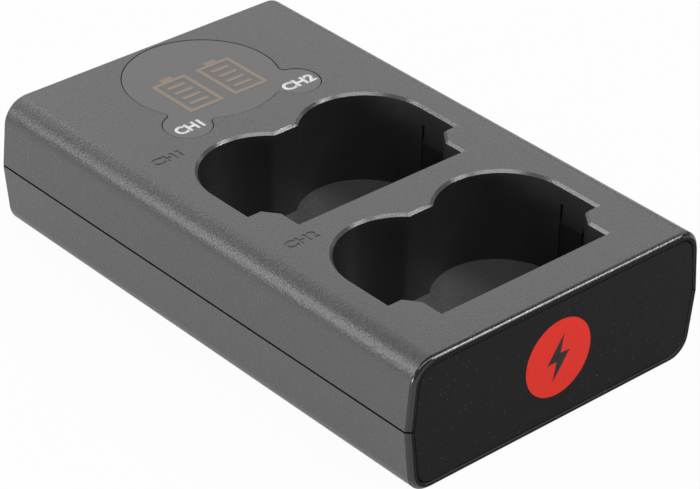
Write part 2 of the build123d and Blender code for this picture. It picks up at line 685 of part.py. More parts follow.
with BuildPart() as micro_inlet_tongue:
    micro_back = inlet_mouth + MICRO_INLET_DEPTH
    extrude(micro_inlet_outline(-INLET_SHELL - INLET_FIT, micro_back - INLET_BASE_DEPTH), INLET_BASE_DEPTH)
    with BuildSketch(Plane.YZ.offset(inlet_mouth + TONGUE_SETBACK)):
        with Locations((INLET_SPACING / 2, board_top + MICRO_INLET_HEIGHT / 2)):
            Rectangle(MICRO_TONGUE_WIDTH, MICRO_TONGUE_THICKNESS)
    extrude(amount=MICRO_INLET_DEPTH - TONGUE_SETBACK)
micro_inlet_tongue.part.label = "micro_inlet_tongue"
export_step(micro_inlet_tongue.part, "parts/micro_inlet_tongue.step")

# Contact block and blades of each bay
for number, (block_x, block_y) in enumerate(block_points, start=1):
    bay_blades = [point for point in blade_points if point[0] == block_x]
    with BuildPart() as contact_block:
        with BuildSketch(Plane.XY.offset(board_top)):
            with Locations((block_x, block_y)):
                Rectangle(BLOCK_LENGTH + 2 * FLANGE_REACH, BLOCK_WIDTH + 2 * FLANGE_REACH)
        extrude(amount=BOARD_HEADROOM)
        with BuildSketch(Plane.XY.offset(bay_underside)):
            with Locations((block_x, block_y)):
                Rectangle(BLOCK_LENGTH, BLOCK_WIDTH)
        extrude(amount=BAY_FLOOR_WALL + BLOCK_RISE)
        with BuildSketch(Plane.XY.offset(board_top)):
            with Locations(*bay_blades):
                Rectangle(BLADE_LENGTH + 2 * CONTACT_CLEARANCE, BLADE_THICKNESS + 2 * CONTACT_CLEARANCE)
        extrude(amount=bay_floor + BLOCK_RISE - board_top, mode=Mode.SUBTRACT)
    contact_block.part.label = f"contact_block_{number}"
    export_step(contact_block.part, f"parts/contact_block_{number}.step")

    with BuildPart() as contact_blades:
        with BuildSketch(Plane.XY.offset(board_bottom - BLADE_TAIL)):
            with Locations(*bay_blades):
                Rectangle(BLADE_LENGTH, BLADE_THICKNESS)
        extrude(amount=bay_floor + BLADE_RISE - board_bottom + BLADE_TAIL)
        chamfer(contact_blades.edges().filter_by(Axis.Y).group_by(Axis.Z)[-1], BLADE_TIP)
    contact_blades.part.label = f"contact_blades_{number}"
    export_step(contact_blades.part, f"parts/contact_blades_{number}.step")

# Control and charging chips, with their leads along the board
controller_chip = leaded_chip(
    Plane((part_row_x, 0, board_top), x_dir=(0, 1, 0)),
    CONTROLLER_WIDTH,
    CONTROLLER_LENGTH,
    CONTROLLER_HEIGHT,
    CONTROLLER_LEAD_COUNT,
)
controller_chip.label = "controller_chip"
export_step(controller_chip, "parts/controller_chip.step")

for number, side in ((1, -1), (2, 1)):
    charger_chip = leaded_chip(
        Plane((part_row_x, side * charger_y, board_top), x_dir=(0, 1, 0)),
        CHARGER_WIDTH,
        CHARGER_LENGTH,
        CHARGER_HEIGHT,
        CHARGER_LEAD_COUNT,
    )
    charger_chip.label = f"charger_chip_{number}"
    export_step(charger_chip, f"parts/charger_chip_{number}.step")

    # Power inductor: pressed block with cut corners
    with BuildPart() as inductor:
        with Locations((part_row_x, side * inductor_y, board_top)):
            Box(INDUCTOR_SIZE, INDUCTOR_SIZE, INDUCTOR_HEIGHT, align=ON_BOARD)
        chamfer(inductor.edges().filter_by(Axis.Z), INDUCTOR_CORNER)
    inductor.part.label = f"inductor_{number}"
    export_step(inductor.part, f"parts/inductor_{number}.step")

    # Capacitor: rolled can on a square base
    with BuildPart() as capacitor:
        with Locations((part_row_x, side * capacitor_y, board_top)):
            Box(CAPACITOR_DIAMETER, CAPACITOR_DIAMETER, CAPACITOR_BASE_HEIGHT, align=ON_BOARD)
            Cylinder(CAPACITOR_DIAMETER / 2, CAPACITOR_HEIGHT, align=ON_BOARD)
        chamfer(capacitor.faces().sort_by(Axis.Z)[-1].edges(), CAPACITOR_EDGE)
    capacitor.part.label = f"capacitor_{number}"
    export_step(capacitor.part, f"parts/capacitor_{number}.step")

# Rectifiers between the inlets, one for each channel
with BuildPart() as diodes:
    with Locations((diode_x, 0, board_top)):
        with GridLocations(0, DIODE_WIDTH + PART_GAP, 1, 2):
            Box(DIODE_LENGTH, DIODE_WIDTH, DIODE_HEIGHT, align=ON_BOARD)
    chamfer(diodes.faces().group_by(Axis.Z)[-1].edges().filter_by(Axis.X), DIODE_EDGE)
diodes.part.label = "diodes"
export_step(diodes.part, "parts/diodes.step")

# Sensing resistors, low enough to lie under the bay floors
with BuildPart() as chip_resistors:
    with Locations(*[(x, y, board_top) for x, _ in block_points for y in (-RESISTOR_Y, RESISTOR_Y)]):
        Box(RESISTOR_LENGTH, RESISTOR_WIDTH, RESISTOR_HEIGHT, align=ON_BOARD)
chip_resistors.part.label = "chip_resistors"
export_step(chip_resistors.part, "parts/chip_resistors.step")
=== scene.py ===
"""Finishes, printed and engraved marks and studio for the twin-bay camera battery charger.

Laid out as an add-on: sizes and colours are properties, each piece has an operator,
and main() calls them in order.
"""

import json
from collections import Counter, namedtuple
from math import pi, radians

import bpy
from bpy.props import FloatProperty, FloatVectorProperty, PointerProperty
from mathutils import Matrix, Vector


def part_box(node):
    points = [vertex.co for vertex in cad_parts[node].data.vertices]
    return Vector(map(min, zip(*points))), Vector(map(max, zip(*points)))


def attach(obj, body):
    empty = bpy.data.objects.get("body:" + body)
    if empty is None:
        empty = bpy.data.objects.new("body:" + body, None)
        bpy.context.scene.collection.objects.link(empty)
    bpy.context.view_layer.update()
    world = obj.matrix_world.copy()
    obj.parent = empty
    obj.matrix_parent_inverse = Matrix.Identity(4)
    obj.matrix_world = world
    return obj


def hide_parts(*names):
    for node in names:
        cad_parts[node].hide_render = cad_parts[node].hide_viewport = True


bl_info = {
    "name": "Twin-bay charger",
    "version": (1, 0, 0),
    "blender": (4, 5, 0),
    "location": "3D View > Sidebar > Charger",
    "description": "Dresses a camera battery charger in its finishes and marks",
    "category": "Object",
}

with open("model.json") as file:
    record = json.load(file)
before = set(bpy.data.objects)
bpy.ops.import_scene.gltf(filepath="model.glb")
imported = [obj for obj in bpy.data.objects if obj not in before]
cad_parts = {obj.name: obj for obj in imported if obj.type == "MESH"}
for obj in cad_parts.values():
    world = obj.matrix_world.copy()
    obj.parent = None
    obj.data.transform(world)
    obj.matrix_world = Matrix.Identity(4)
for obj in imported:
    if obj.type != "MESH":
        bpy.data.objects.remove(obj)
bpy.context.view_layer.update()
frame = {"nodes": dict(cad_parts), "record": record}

MM = 0.001
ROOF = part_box("upper_housing")[1].z
WINDOW_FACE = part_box("display_window")[1].z
PLATE_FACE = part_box("end_plate")[1].x
LIP_REACH = 1.05 * MM  # from the middle of the groove up to the top of the lip inside
GROOVE_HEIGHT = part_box("lower_housing")[1].z - LIP_REACH
GROOVE_BAND = 0.5 * MM  # the faces in the groove lie this close to its middle
BAY_REACH = 25 * MM  # from the middle of a bay to its farthest wall
RIM_BAND = 0.5 * MM  # height of the rims over the bay walls
END_BAND = 1 * MM  # the faces of the plated end lie this close to the face of the plate
# how far a face is turned towards a direction, from 0 for not at all to 1 for straight along it
UPRIGHT_TURN = 0.5  # a wall is turned up or down by less than this
EDGE_TURN = 0.3  # a chamfer is turned to the end by more than this
FLAT_TURN = 0.9  # a flat face is turned up or to the end by more than this
LETTER_WEIGHT = 0.042  # outward growth of the letters, as a share of their size
LETTER_STEPS = 6  # straight steps in each curve of a letter
DISC_CORNERS = 96
BARS = 4  # charge bars in each pictogram
# charge bolt, as shares of its height from its middle
BOLT = ((0.12, 0.5), (-0.28, -0.08), (-0.04, -0.08), (-0.12, -0.5), (0.28, 0.08), (0.04, 0.08))
WELD = 0.001 * MM  # points closer than this are merged
FLAT_ANGLE = radians(0.1)  # triangles below this angle are one flat face
SOFT_ANGLE = radians(50)  # edges below this angle are shaded as rounded
GRAIN_LOW = 0.3  # the grain's noise stays between these two, for the most part
GRAIN_HIGH = 0.7
FLOOR_SIZE = 6.0  # in metres
SENSOR = 36.0  # width of the camera's sensor in millimetres
NEAREST = 0.01  # what the camera sees, in metres from it
FARTHEST = 20.0
# share of the floor that is plain white to each kind of ray, the rest is lit paper with the shadow
WHITE_SHARES = {"Is Camera Ray": 0.96, "Is Glossy Ray": 0.4, "Is Transmission Ray": 0.96}


def size_of(label, says, millimetres):
    """A length that is stated in millimetres and kept in metres."""
    return FloatProperty(name=label, description=says, default=millimetres * MM, unit="LENGTH", precision=5)


def point_of(label, says, millimetres):
    """A place that is stated in millimetres and kept in metres."""
    default = [value * MM for value in millimetres]
    return FloatVectorProperty(
        name=label, description=says, default=default, size=len(default), unit="LENGTH", precision=5
    )


def colour_of(label, says, linear):
    """A linear colour."""
    return FloatVectorProperty(
        name=label, description=says, default=linear, subtype="COLOR", size=3, min=0.0, max=1.0
    )


def angle_of(label, says, degrees):
    """An angle that is stated in degrees."""
    return FloatProperty(name=label, description=says, default=radians(degrees), subtype="ANGLE")


def power_of(label, says, watts):
    """The power of a lamp in watts."""
    return FloatProperty(name=label, description=says, default=watts, min=0.0)


class ChargerFinishes(bpy.types.PropertyGroup):
    """Colours and grain."""

    housing: colour_of("Housing", "Charcoal moulding", (0.0785, 0.0765, 0.0775))
    # the bay walls are the housing's moulding; this darker colour is painted shade inside the bays
    wall: colour_of("Bay wall", "Polished walls of the bays", (0.022, 0.022, 0.0235))
    # this black is also painted on the housings' end faces and chamfers, partly as painted shade, and in
    # their groove as painted shade
    plate: colour_of("Plate", "Black film of the plated end", (0.0125, 0.0125, 0.0142))
    speck: colour_of("Speck", "Pale specks in the film", (0.175, 0.175, 0.19))
    window: colour_of("Window", "Smoked window", (0.1, 0.1, 0.1))
    icon: colour_of("Pictogram", "Unlit display segments", (0.22, 0.17, 0.13))
    mark: colour_of("Mark", "White printed letters", (0.69, 0.69, 0.7))
    disc: colour_of("Disc", "Red film on the plate", (0.96, 0.037, 0.02))
    bolt: colour_of("Bolt", "Dark charge bolt on the disc", (0.025, 0.025, 0.0275))
    grain_size: size_of("Grain", "Spacing of the moulding grain", 0.32)
    grain_depth: size_of("Grain depth", "Height of the moulding grain", 0.06)
    speck_pitch: size_of("Speck pitch", "Spacing of the specks", 0.9)
    speck_size: size_of("Speck size", "Reach of a speck from its middle", 0.1)


class ChargerMarks(bpy.types.PropertyGroup):
    """Sizes and places of the pictograms, the letters and the disc."""

    ink: size_of("Ink", "Thickness of the prints", 0.03)
    icon_1: point_of("Pictogram 1", "Middle of the first battery outline", (-29.5, -4.45))
    icon_2: point_of("Pictogram 2", "Middle of the second battery outline", (-29.5, 3.95))
    icon_length: size_of("Pictogram length", "Battery outline without its cap", 9.6)
    icon_width: size_of("Pictogram width", "Battery outline across", 6.45)
    icon_stroke: size_of("Stroke", "Line of the battery outline", 0.72)
    cap_length: size_of("Cap length", "Battery cap along the body", 0.8)
    cap_width: size_of("Cap width", "Battery cap across", 2.2)
    bar_length: size_of("Bar length", "Charge bar across the body", 3.3)
    bar_width: size_of("Bar width", "Charge bar along the body", 0.75)
    bar_pitch: size_of("Bar pitch", "Spacing of the charge bars", 1.8)
    print_height: size_of("Printed height", "Height of the white letters", 2.2)
    print_width_1: size_of("Printed width 1", "Length of the first white mark", 4.8)
    print_width_2: size_of("Printed width 2", "Length of the second white mark", 5.95)
    print_1: point_of("Printed mark 1", "Middle of the first white mark", (-21.5, -10.65))
    print_2: point_of("Printed mark 2", "Middle of the second white mark", (-21.56, 10.4))
    engraved_height: size_of("Engraved height", "Height of the engraved letters", 1.9)
    engraved_width_1: size_of("Engraved width 1", "Length of the first engraved mark", 5.2)
    engraved_width_2: size_of("Engraved width 2", "Length of the second engraved mark", 5.7)
    engraved_depth: size_of("Engraved depth", "Depth of the engraved letters", 0.1)
    engraved_1: point_of("Engraved mark 1", "Middle of the first engraved mark", (-16.56, -18.75))
    engraved_2: point_of("Engraved mark 2", "Middle of the second engraved mark", (12.31, -18.2))
    disc_radius: size_of("Disc radius", "Round film on the plate", 6.13)
    disc_height: size_of("Disc place", "Middle of the disc above the base", 11.12)
    bolt_height: size_of("Bolt height", "Charge bolt on the disc", 7.4)


class ChargerStudio(bpy.types.PropertyGroup):
    """Camera and lamps."""

    camera_place: point_of("Camera", "Place of the camera", (282.745, -254.076, 247.034))
    camera_azimuth: angle_of("Azimuth", "Turn round the object", 47.8327)
    camera_elevation: angle_of("Elevation", "Angle above the floor", 32.2184)
    camera_roll: angle_of("Roll", "Tilt of the horizon", 1.3475)
    camera_lens: FloatProperty(
        name="Lens", description="Focal length for a 36 mm sensor, in millimetres", default=158.73
    )
    ambient: FloatProperty(name="Ambient", description="Light from all round", default=0.105)
    edge_power: power_of("Edge lamp", "Softbox at the left that draws the long edge", 2.6)
    key_power: power_of("Key lamp", "Softbox over the right that draws the end's edge", 2.3)
    rim_power: power_of("Rim lamp", "Small lamp at the right that draws the left rims of the bays", 0.4)
    strip_power: power_of("Strip lamp", "Strip in front that draws the rear rims and lights the floors", 1.5)
    side_power: power_of("Side panel", "Panel that lights the long side", 4.1)
    back_power: power_of("Back panel", "Panel whose sheen lies on the top", 1.16)
    back_left_power: power_of("Back left panel", "Panel that brightens the far end of the top", 1.85)
    back_right_power: power_of("Back right panel", "Panel that brightens the right of the top", 0.9)


def finish(name, colour, spread, roughness, grain, depth, metallic=0.0, specular=0.5, stretch=(1, 1, 1)):
    """Surface whose colour, roughness and height all follow one grain on the object's own coordinates."""
    material = bpy.data.materials.new(name)
    material.use_nodes = True
    nodes, links = material.node_tree.nodes, material.node_tree.links
    shader = nodes["Principled BSDF"]
    shader.inputs["Metallic"].default_value = metallic
    shader.inputs["Specular IOR Level"].default_value = specular
    place = nodes.new("ShaderNodeTexCoord")
    mapping = nodes.new("ShaderNodeMapping")
    mapping.inputs["Scale"].default_value = stretch
    noise = nodes.new("ShaderNodeTexNoise")
    noise.inputs["Scale"].default_value = 1 / grain
    tone = nodes.new("ShaderNodeValToRGB")
    darkest, palest = tone.color_ramp.elements
    for stop, at, share in ((darkest, GRAIN_LOW, 1 - spread), (palest, GRAIN_HIGH, 1 + spread)):
        stop.position = at
        stop.color = (*[channel * share for channel in colour], 1.0)
    rough = nodes.new("ShaderNodeMapRange")
    rough.inputs["From Min"].default_value = GRAIN_LOW
    rough.inputs["From Max"].default_value = GRAIN_HIGH
    rough.inputs["To Min"].default_value, rough.inputs["To Max"].default_value = roughness
    bump = nodes.new("ShaderNodeBump")
    bump.inputs["Distance"].default_value = depth
    links.new(place.outputs["Object"], mapping.inputs["Vector"])
    links.new(mapping.outputs["Vector"], noise.inputs["Vector"])
    links.new(noise.outputs["Fac"], tone.inputs["Fac"])
    links.new(noise.outputs["Fac"], rough.inputs["Value"])
    links.new(noise.outputs["Fac"], bump.inputs["Height"])
    links.new(tone.outputs["Color"], shader.inputs["Base Color"])
    links.new(rough.outputs["Result"], shader.inputs["Roughness"])
    links.new(bump.outputs["Normal"], shader.inputs["Normal"])
    return material


def moulded_housing(finishes):
    """Charcoal moulding with a spark-eroded grain."""
    return finish(
        "moulded_housing",
        finishes.housing,
        spread=0.06,
        roughness=(0.22, 0.3),
        grain=finishes.grain_size,
        depth=finishes.grain_depth,
        specular=0.475,
    )


def polished_wall(finishes):
    """Smooth moulding on the walls of the bays, whose darker colour is painted shade inside the bays."""
    return finish(
        "polished_wall",
        finishes.wall,
        spread=0.04,
        roughness=(0.3, 0.36),
        grain=2 * MM,
        depth=0.002 * MM,
        specular=0.475,
    )


def polished_rim(finishes):
    """Smooth moulding on the rims of the bays, which catch the light."""
    return finish(
        "polished_rim",
        finishes.housing,
        spread=0.04,
        roughness=(0.12, 0.2),
        grain=0.25 * MM,
        depth=0.02 * MM,
        specular=0.65,
    )


def plate_film(finishes):
    """Black film with fine pale specks; on the housings' end faces it is partly the end's own black and
    partly painted shade.
    """
    material = finish(
        "plate_film",
        finishes.plate,
        spread=0.2,
        roughness=(0.5, 0.6),
        grain=0.3 * MM,
        depth=0.008 * MM,
        specular=0.1,
    )
    nodes, links = material.node_tree.nodes, material.node_tree.links
    cells = nodes.new("ShaderNodeTexVoronoi")
    cells.inputs["Scale"].default_value = 1 / finishes.speck_pitch
    speck = nodes.new("ShaderNodeMapRange")
    speck.inputs["From Min"].default_value = finishes.speck_size / finishes.speck_pitch
    speck.inputs["From Max"].default_value = 0.0
    mix = nodes.new("ShaderNodeMixRGB")
    mix.inputs["Color2"].default_value = (*finishes.speck, 1.0)
    links.new(nodes["Texture Coordinate"].outputs["Object"], cells.inputs["Vector"])
    links.new(cells.outputs["Distance"], speck.inputs["Value"])
    links.new(speck.outputs["Result"], mix.inputs["Fac"])
    links.new(nodes["Color Ramp"].outputs["Color"], mix.inputs["Color1"])
    links.new(mix.outputs["Color"], nodes["Principled BSDF"].inputs["Base Color"])
    return material


def black_edge(finishes):
    """Smooth glossy black on the chamfers round the plated end, partly the end's own black and partly
    painted shade on its upright edges; the light line on the top edge comes from its gloss.
    """
    return finish(
        "black_edge",
        finishes.plate,
        spread=0.1,
        roughness=(0.2, 0.28),
        grain=0.3 * MM,
        depth=0.02 * MM,
        specular=0.7,
    )


def black_gap(finishes):
    """Dull black inside the groove between the housings, as painted shade in the gap."""
    return finish(
        "black_gap",
        finishes.plate,
        spread=0.1,
        roughness=(0.6, 0.7),
        grain=0.3 * MM,
        depth=0.004 * MM,
        specular=0.1,
    )


def smoked_window(finishes):
    """Satin smoked plastic, smoother than the housing."""
    return finish(
        "smoked_window",
        finishes.window,
        spread=0.02,
        roughness=(0.3, 0.36),
        grain=0.9 * MM,
        depth=0.002 * MM,
    )


def hidden_finishes():
    """Finishes of the pieces inside, by record slot."""
    return {
        "display_glass": finish(
            "display_glass",
            (0.32, 0.29, 0.25),
            spread=0.04,
            roughness=(0.06, 0.1),
            grain=3 * MM,
            depth=0.001 * MM,
        ),
        "light_guide": finish(
            "light_guide",
            (0.8, 0.8, 0.77),
            spread=0.03,
            roughness=(0.35, 0.45),
            grain=1 * MM,
            depth=0.004 * MM,
        ),
        "lamp": finish(
            "lamp_resin",
            (0.8, 0.66, 0.3),
            spread=0.08,
            roughness=(0.2, 0.3),
            grain=0.6 * MM,
            depth=0.003 * MM,
        ),
        "board": finish(
            "solder_mask",
            (0.02, 0.13, 0.05),
            spread=0.2,
            roughness=(0.25, 0.4),
            grain=1.6 * MM,
            depth=0.02 * MM,
        ),
        "screw_steel": finish(
            "zinc_plate",
            (0.5, 0.5, 0.52),
            spread=0.1,
            roughness=(0.3, 0.42),
            grain=0.5 * MM,
            depth=0.004 * MM,
            metallic=1.0,
        ),
        "header_plastic": finish(
            "header_moulding",
            (0.02, 0.02, 0.021),
            spread=0.15,
            roughness=(0.4, 0.5),
            grain=0.4 * MM,
            depth=0.006 * MM,
        ),
        "pin_metal": finish(
            "pin_gold",
            (0.82, 0.6, 0.25),
            spread=0.06,
            roughness=(0.2, 0.3),
            grain=0.4 * MM,
            depth=0.002 * MM,
            metallic=1.0,
        ),
        "inlet_steel": finish(
            "drawn_nickel",
            (0.58, 0.57, 0.55),
            spread=0.08,
            roughness=(0.22, 0.36),
            grain=0.4 * MM,
            depth=0.003 * MM,
            metallic=1.0,
            stretch=(0.1, 1, 1),
        ),
        "inlet_plastic": finish(
            "tongue_moulding",
            (0.022, 0.022, 0.023),
            spread=0.12,
            roughness=(0.4, 0.5),
            grain=0.4 * MM,
            depth=0.005 * MM,
        ),
        "contact_plastic": finish(
            "contact_moulding",
            (0.02, 0.02, 0.02),
            spread=0.12,
            roughness=(0.4, 0.5),
            grain=0.4 * MM,
            depth=0.006 * MM,
        ),
        "contact_metal": finish(
            "contact_gold",
            (0.8, 0.6, 0.28),
            spread=0.08,
            roughness=(0.22, 0.34),
            grain=0.5 * MM,
            depth=0.003 * MM,
            metallic=1.0,
            stretch=(1, 1, 0.15),
        ),
        "chip": finish(
            "chip_moulding",
            (0.022, 0.022, 0.024),
            spread=0.12,
            roughness=(0.45, 0.55),
            grain=0.25 * MM,
            depth=0.006 * MM,
        ),
        "ferrite": finish(
            "pressed_ferrite",
            (0.06, 0.06, 0.065),
            spread=0.15,
            roughness=(0.5, 0.65),
            grain=0.3 * MM,
            depth=0.012 * MM,
        ),
        "can": finish(
            "aluminium_can",
            (0.7, 0.7, 0.71),
            spread=0.06,
            roughness=(0.28, 0.4),
            grain=0.5 * MM,
            depth=0.003 * MM,
            metallic=1.0,
        ),
        "resistor": finish(
            "glazed_resistor",
            (0.03, 0.03, 0.032),
            spread=0.15,
            roughness=(0.25, 0.35),
            grain=0.4 * MM,
            depth=0.004 * MM,
        ),
    }


def clear_selection():
    """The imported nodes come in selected, and an operator would act on them too."""
    bpy.ops.object.select_all(action="DESELECT")


def settle(piece, name, material):
    """Puts the piece's place into its mesh, and gives it its name, finish and carrier."""
    clear_selection()
    piece.select_set(True)
    bpy.context.view_layer.objects.active = piece
    bpy.ops.object.transform_apply(location=True, rotation=True, scale=True)
    piece.name = name
    piece.data.name = name
    piece.data.materials.clear()
    piece.data.materials.append(material)
    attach(piece, "root")


def flat_rectangle(centre, size):
    """Flat rectangle, left in edit mode with its face selected."""
    clear_selection()
    bpy.ops.mesh.primitive_plane_add(size=1, location=centre)
    bpy.context.object.scale = (*size, 1)
    bpy.ops.object.transform_apply(location=True, rotation=True, scale=True)
    bpy.ops.object.mode_set(mode="EDIT")
    bpy.ops.mesh.select_mode(type="FACE")
    bpy.ops.mesh.select_all(action="SELECT")
    return bpy.context.object


def thicken(offset):
    """Raises the whole flat mesh that is being edited into a closed solid."""
    bpy.ops.mesh.select_all(action="SELECT")
    bpy.ops.mesh.extrude_region_move(TRANSFORM_OT_translate={"value": offset})
    bpy.ops.mesh.select_all(action="SELECT")
    bpy.ops.mesh.normals_make_consistent(inside=False)
    bpy.ops.object.mode_set(mode="OBJECT")


def join(pieces):
    """Joins pieces into the first."""
    clear_selection()
    for piece in pieces:
        piece.select_set(True)
    bpy.context.view_layer.objects.active = pieces[0]
    bpy.ops.object.join()
    return pieces[0]


def channel_letters(words, size, centre, level):
    """Flat block letters, left in edit mode, that read from the long side: right is +Y and up is -X."""
    clear_selection()
    bpy.ops.object.text_add()
    letters = bpy.context.object
    letters.data.body = words
    letters.data.offset = LETTER_WEIGHT
    letters.data.resolution_u = LETTER_STEPS
    bpy.ops.object.convert(target="MESH")
    letters = bpy.context.object
    low = Vector([min(vertex.co[axis] for vertex in letters.data.vertices) for axis in range(3)])
    high = Vector([max(vertex.co[axis] for vertex in letters.data.vertices) for axis in range(3)])
    letters.data.transform(Matrix.Translation(-(low + high) / 2))
    letters.scale = (size[0] / (high.x - low.x), size[1] / (high.y - low.y), 1)
    letters.rotation_euler = (0, 0, pi / 2)
    letters.location = (*centre, level)
    bpy.ops.object.transform_apply(location=True, rotation=True, scale=True)
    bpy.ops.object.mode_set(mode="EDIT")
    bpy.ops.mesh.select_all(action="SELECT")
    bpy.ops.mesh.remove_doubles(threshold=WELD)
    return letters


def merged_copy(node, name):
    """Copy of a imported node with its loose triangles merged."""
    skin = bpy.data.objects.new(name, frame["nodes"][node].data.copy())
    bpy.context.scene.collection.objects.link(skin)
    clear_selection()
    skin.select_set(True)
    bpy.context.view_layer.objects.active = skin
    bpy.ops.mesh.customdata_custom_splitnormals_clear()
    bpy.ops.object.mode_set(mode="EDIT")
    bpy.ops.mesh.select_all(action="SELECT")
    bpy.ops.mesh.remove_doubles(threshold=WELD)
    bpy.ops.mesh.dissolve_limited(angle_limit=FLAT_ANGLE)
    bpy.ops.object.mode_set(mode="OBJECT")
    return skin


def looks_into_bay(face):
    """Whether a face of the upper housing looks in on one of the bays."""
    for mount in frame["record"]["mounts"]:
        inwards = (Vector(mount["pos_m"]) - face.center).xy
        near = inwards.length < BAY_REACH and face.center.z > mount["pos_m"][2]
        if mount["name"].startswith("battery_bay") and near and inwards.dot(face.normal.xy) > 0:
            return True
    return False


def bay_rims(skin):
    """The chamfers round the mouths of the bays."""
    return [
        face
        for face in skin.data.polygons
        if UPRIGHT_TURN < face.normal.z < FLAT_TURN and looks_into_bay(face)
    ]


def soften(skin):
    """Shades narrow chamfers as rounded edges, while the large faces keep their own direction."""
    bpy.ops.object.shade_smooth_by_angle(angle=SOFT_ANGLE)
    uses = Counter(key for face in bay_rims(skin) for key in face.edge_keys)
    for edge in skin.data.edges:
        if uses[edge.key] == 1:
            edge.use_edge_sharp = True
    weighted = skin.modifiers.new("weighted", "WEIGHTED_NORMAL")
    weighted.keep_sharp = True
    bpy.ops.object.modifier_apply(modifier=weighted.name)


def bay_walls(skin):
    """The upright walls of the bays, below their rims."""
    return [
        face
        for face in skin.data.polygons
        if abs(face.normal.z) < UPRIGHT_TURN and face.center.z < ROOF - RIM_BAND and looks_into_bay(face)
    ]


def end_faces(skin):
    """Flat faces of the plated end."""
    return [
        face
        for face in skin.data.polygons
        if face.normal.x > FLAT_TURN and face.center.x > PLATE_FACE - END_BAND
    ]


def end_edges(skin):
    """The chamfers round the plated end."""
    return [
        face
        for face in skin.data.polygons
        if EDGE_TURN < face.normal.x <= FLAT_TURN and face.center.x > PLATE_FACE - END_BAND
    ]


def groove_faces(skin):
    """Faces in the groove between the housings."""
    return [face for face in skin.data.polygons if abs(face.center.z - GROOVE_HEIGHT) < GROOVE_BAND]


def paint(skin, material, faces):
    """Gives some of the faces a finish of their own."""
    skin.data.materials.append(material)
    for face in faces:
        face.material_index = len(skin.data.materials) - 1


class CHARGER_OT_finish_nodes(bpy.types.Operator):
    """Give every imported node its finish"""

    bl_idname = "charger.finish_nodes"
    bl_label = "Finish the packed nodes"

    def execute(self, context):
        finishes = context.scene.charger_finishes
        by_slot = hidden_finishes()
        by_slot["housing"] = moulded_housing(finishes)
        by_slot["plate"] = plate_film(finishes)
        by_slot["window"] = smoked_window(finishes)
        slots = {part["node"]: part["material_slot"] for part in frame["record"]["subparts"]}
        for name, node in frame["nodes"].items():
            for slot in node.material_slots:
                slot.material = by_slot[slots[name]]
        return {"FINISHED"}


class CHARGER_OT_engrave_housing(bpy.types.Operator):
    """Stand softened copies in for the two housings, with engraved marks and finishes by face"""

    bl_idname = "charger.engrave_housing"
    bl_label = "Engrave and finish the housings"

    def execute(self, context):
        marks = context.scene.charger_marks
        finishes = context.scene.charger_finishes
        cutters = []
        for words, width, centre in (
            ("CH1", marks.engraved_width_1, marks.engraved_1),
            ("CH2", marks.engraved_width_2, marks.engraved_2),
        ):
            size = (width, marks.engraved_height)
            cutters.append(channel_letters(words, size, centre, ROOF - marks.engraved_depth))
            thicken((0, 0, 2 * marks.engraved_depth))
        cutter = join(cutters)
        upper = merged_copy("upper_housing", "engraved_housing")
        cut = upper.modifiers.new("engraved", "BOOLEAN")
        cut.operation = "DIFFERENCE"
        cut.solver = "EXACT"
        cut.object = cutter
        bpy.ops.object.modifier_apply(modifier=cut.name)
        bpy.data.objects.remove(cutter)
        lower = merged_copy("lower_housing", "softened_tray")
        for skin, node in ((upper, "upper_housing"), (lower, "lower_housing")):
            settle(skin, skin.name, bpy.data.materials["moulded_housing"])
            soften(skin)
            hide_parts(node)
        # painted shade: the bay walls get a darker colour than the housing
        paint(upper, polished_wall(finishes), bay_walls(upper))
        paint(upper, polished_rim(finishes), bay_rims(upper))
        film = bpy.data.materials["plate_film"]
        edge = black_edge(finishes)
        gap = black_gap(finishes)
        # the housings' end faces and chamfers take the plate's black, partly the end's own black and partly
        # painted shade on the dark end
        for skin in (upper, lower):
            paint(skin, film, end_faces(skin))
            paint(skin, edge, end_edges(skin))
            # painted shade: the groove between the housings is painted black
            paint(skin, gap, groove_faces(skin))
        return {"FINISHED"}


class CHARGER_OT_print_icons(bpy.types.Operator):
    """Lay a battery pictogram for each channel on the window"""

    bl_idname = "charger.print_icons"
    bl_label = "Print the pictograms"

    def execute(self, context):
        marks = context.scene.charger_marks
        ink = finish(
            "segment_ink",
            context.scene.charger_finishes.icon,
            spread=0.05,
            roughness=(0.35, 0.45),
            grain=0.5 * MM,
            depth=0.002 * MM,
        )
        for number, (x, y) in ((1, marks.icon_1), (2, marks.icon_2)):
            outline = flat_rectangle((x, y, WINDOW_FACE), (marks.icon_length, marks.icon_width))
            bpy.ops.mesh.inset(thickness=marks.icon_stroke)
            bpy.ops.mesh.delete(type="FACE")
            thicken((0, 0, marks.ink))
            cap_x = x - (marks.icon_length + marks.cap_length) / 2
            solids = [(cap_x, marks.cap_length, marks.cap_width)]
            for bar in range(BARS):
                bar_x = x + (bar - (BARS - 1) / 2) * marks.bar_pitch
                solids.append((bar_x, marks.bar_width, marks.bar_length))
            pieces = [outline]
            for solid_x, length, width in solids:
                pieces.append(flat_rectangle((solid_x, y, WINDOW_FACE), (length, width)))
                thicken((0, 0, marks.ink))
            settle(join(pieces), f"pictogram_{number}", ink)
        return {"FINISHED"}


class CHARGER_OT_print_marks(bpy.types.Operator):
    """Lay the white channel letters on the window"""

    bl_idname = "charger.print_marks"
    bl_label = "Print the channel letters"

    def execute(self, context):
        marks = context.scene.charger_marks
        ink = finish(
            "white_ink",
            context.scene.charger_finishes.mark,
            spread=0.03,
            roughness=(0.45, 0.55),
            grain=0.3 * MM,
            depth=0.003 * MM,
        )
        for number, width, centre in (
            (1, marks.print_width_1, marks.print_1),
            (2, marks.print_width_2, marks.print_2),
        ):
            letters = channel_letters(f"CH{number}", (width, marks.print_height), centre, WINDOW_FACE)
            thicken((0, 0, marks.ink))
            settle(letters, f"channel_mark_{number}", ink)
        return {"FINISHED"}


